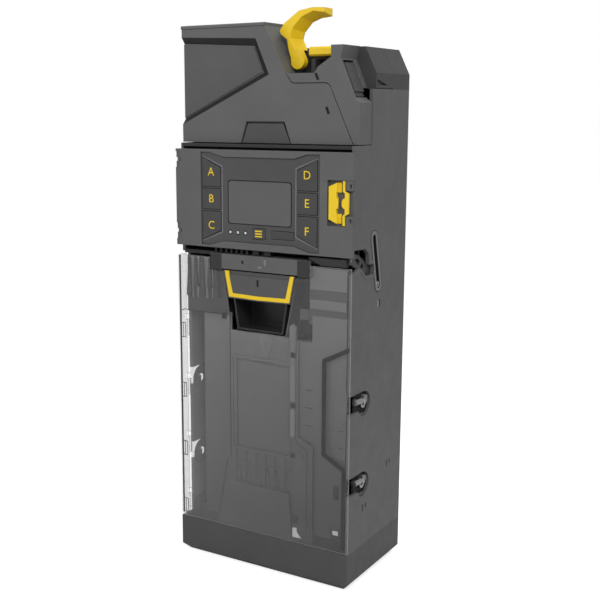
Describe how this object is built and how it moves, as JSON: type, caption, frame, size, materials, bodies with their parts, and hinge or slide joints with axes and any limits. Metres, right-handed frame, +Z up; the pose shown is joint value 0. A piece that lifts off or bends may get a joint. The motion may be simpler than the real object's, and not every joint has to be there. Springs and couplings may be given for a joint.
{
  "type": "coin changer",
  "caption": "Vending-machine coin changer with a coin funnel and return lever, a keypad door with display, a pull-out coin-tube cassette and a clear hinged cover.",
  "frame": {"origin": "middle of the footprint, on the underside of the base", "axes": "+X to the right seen from the front, +Y to the back, +Z up"},
  "size_m": [0.137, 0.081, 0.3826],
  "materials": {
    "housing_grey": "fine texture moulding",
    "panel_grey": "fine texture moulding",
    "cap_grey": "fine texture moulding",
    "dark_grey": "matte",
    "screen_grey": "smooth",
    "signal_yellow": "satin",
    "clear_plastic": "clear moulded sheet",
    "white_plastic": "translucent",
    "steel": "plain",
    "coil_copper": "wound wire",
    "board_green": "solder mask",
    "tube_black": "smooth bore"
  },
  "bodies": {
    "housing": {"housing_left": "housing_grey", "housing_right": "housing_grey", "housing_back": "housing_grey", "base_tray": "panel_grey", "base_deck": "dark_grey", "inner_frame": "dark_grey", "rear_cap": "cap_grey", "base_screws": "steel", "acceptor_cover": "housing_grey", "shoulder_cover": "housing_grey", "recess_panel": "panel_grey", "label_tab": "panel_grey", "top_lid": "housing_grey", "pivot_pins": "steel", "lever_bracket": "dark_grey", "coin_rail": "steel", "sensor_coils": "coil_copper", "gate_solenoid": "coil_copper", "acceptor_board": "board_green", "payout_solenoids": "coil_copper", "control_board": "board_green", "power_supply": "steel", "harness_socket": "dark_grey"},
    "door": {"keypad_frame": "housing_grey", "keypad_panel": "panel_grey", "door_hinge_pins": "steel", "display_window": "screen_grey", "display_module": "dark_grey", "status_lamps": "white_plastic", "keypad_board": "board_green"},
    "cassette": {"cassette_block": "panel_grey", "coin_tubes": "tube_black", "front_panel": "housing_grey", "side_rail": "housing_grey", "sorter_head": "dark_grey", "finger_pocket": "dark_grey", "cassette_handle": "panel_grey", "handle_trim": "signal_yellow", "top_bar": "housing_grey", "sorting_screens": "dark_grey", "side_plate_left": "clear_plastic", "side_plate_right": "clear_plastic"},
    "flap": {"side_flap": "panel_grey"},
    "lever": {"return_lever": "signal_yellow"},
    "lever_bar": {"cross_bar": "signal_yellow"},
    "gate": {"accept_gate": "dark_grey"},
    "latch_left": {"latch_plate": "signal_yellow"},
    "latch_right": {"latch_bar": "signal_yellow"},
    "cover": {"clear_cover": "clear_plastic"},
    "link": {"lock_link": "panel_grey"},
    "peg": {"release_peg": "steel"},
    "pusher": {"payout_pusher": "white_plastic"},
    "button_a": {"button_a": "housing_grey"},
    "button_b": {"button_b": "housing_grey"},
    "button_c": {"button_c": "housing_grey"},
    "button_d": {"button_d": "housing_grey"},
    "button_e": {"button_e": "housing_grey"},
    "button_f": {"button_f": "housing_grey"},
    "menu_button": {"menu_button": "housing_grey"},
    "select_button": {"select_button": "housing_grey"}
  },
  "joints": [
    {"name": "cassette_slide", "type": "slide", "parent": "housing", "child": "cassette", "axis": [0, -1, 0], "range_m": [0, 0.09]},
    {"name": "cover_hinge", "type": "hinge", "parent": "cassette", "child": "cover", "pos_m": [-0.0669, -0.0309, 0.12], "axis": [0, 0, -1], "range_deg": [0, 100]},
    {"name": "door_hinge", "type": "hinge", "parent": "housing", "child": "door", "pos_m": [-0.0665, -0.0385, 0.26], "axis": [0, 0, -1], "range_deg": [0, 105]},
    {"name": "latch_left_slide", "type": "slide", "parent": "door", "child": "latch_left", "axis": [1, 0, 0], "range_m": [0, 0.001], "stiffness_N_per_m": 300},
    {"name": "latch_right_slide", "type": "slide", "parent": "door", "child": "latch_right", "axis": [-1, 0, 0], "range_m": [0, 0.001], "stiffness_N_per_m": 300},
    {"name": "lever_hinge", "type": "hinge", "parent": "housing", "child": "lever", "pos_m": [0.0166, -0.015, 0.349], "axis": [0, 1, 0], "range_deg": [0, 8], "stiffness_Nm_per_rad": 0.05, "springref_deg": -5.73},
    {"name": "lever_bar_slide", "type": "slide", "parent": "housing", "child": "lever_bar", "axis": [0, 0, -1], "range_m": [0, 0.00101]},
    {"name": "gate_hinge", "type": "hinge", "parent": "housing", "child": "gate", "pos_m": [-0.0461, -0.021, 0.3068], "axis": [0, 1, 0], "range_deg": [-15, 15]},
    {"name": "flap_hinge", "type": "hinge", "parent": "housing", "child": "flap", "pos_m": [0.06145, -0.021, 0.32702], "axis": [0, 1, 0], "range_deg": [0, 60]},
    {"name": "link_hinge", "type": "hinge", "parent": "housing", "child": "link", "pos_m": [0.0646, -0.0349, 0.2241], "axis": [1, 0, 0], "range_deg": [0, 6]},
    {"name": "peg_slide", "type": "slide", "parent": "housing", "child": "peg", "axis": [0, -0.2224, 0.975], "range_m": [0, 0.03]},
    {"name": "pusher_slide", "type": "slide", "parent": "housing", "child": "pusher", "axis": [0, 1, 0], "range_m": [0, 0.008], "stiffness_N_per_m": 120},
    {"name": "button_a_press", "type": "slide", "parent": "door", "child": "button_a", "axis": [0, 1, 0], "range_m": [0, 0.001], "stiffness_N_per_m": 250},
    {"name": "button_b_press", "type": "slide", "parent": "door", "child": "button_b", "axis": [0, 1, 0], "range_m": [0, 0.001], "stiffness_N_per_m": 250},
    {"name": "button_c_press", "type": "slide", "parent": "door", "child": "button_c", "axis": [0, 1, 0], "range_m": [0, 0.001], "stiffness_N_per_m": 250},
    {"name": "button_d_press", "type": "slide", "parent": "door", "child": "button_d", "axis": [0, 1, 0], "range_m": [0, 0.001], "stiffness_N_per_m": 250},
    {"name": "button_e_press", "type": "slide", "parent": "door", "child": "button_e", "axis": [0, 1, 0], "range_m": [0, 0.001], "stiffness_N_per_m": 250},
    {"name": "button_f_press", "type": "slide", "parent": "door", "child": "button_f", "axis": [0, 1, 0], "range_m": [0, 0.001], "stiffness_N_per_m": 250},
    {"name": "menu_button_press", "type": "slide", "parent": "door", "child": "menu_button", "axis": [0, 1, 0], "range_m": [0, 0.001], "stiffness_N_per_m": 250},
    {"name": "select_button_press", "type": "slide", "parent": "door", "child": "select_button", "axis": [0, 1, 0], "range_m": [0, 0.001], "stiffness_N_per_m": 250}
  ],
  "couplings": [
    {"joint": "latch_right_slide", "follows": "latch_left_slide", "ratio": 1},
    {"joint": "lever_bar_slide", "follows": "lever_hinge", "m_per_rad": 0.007162}
  ]
}
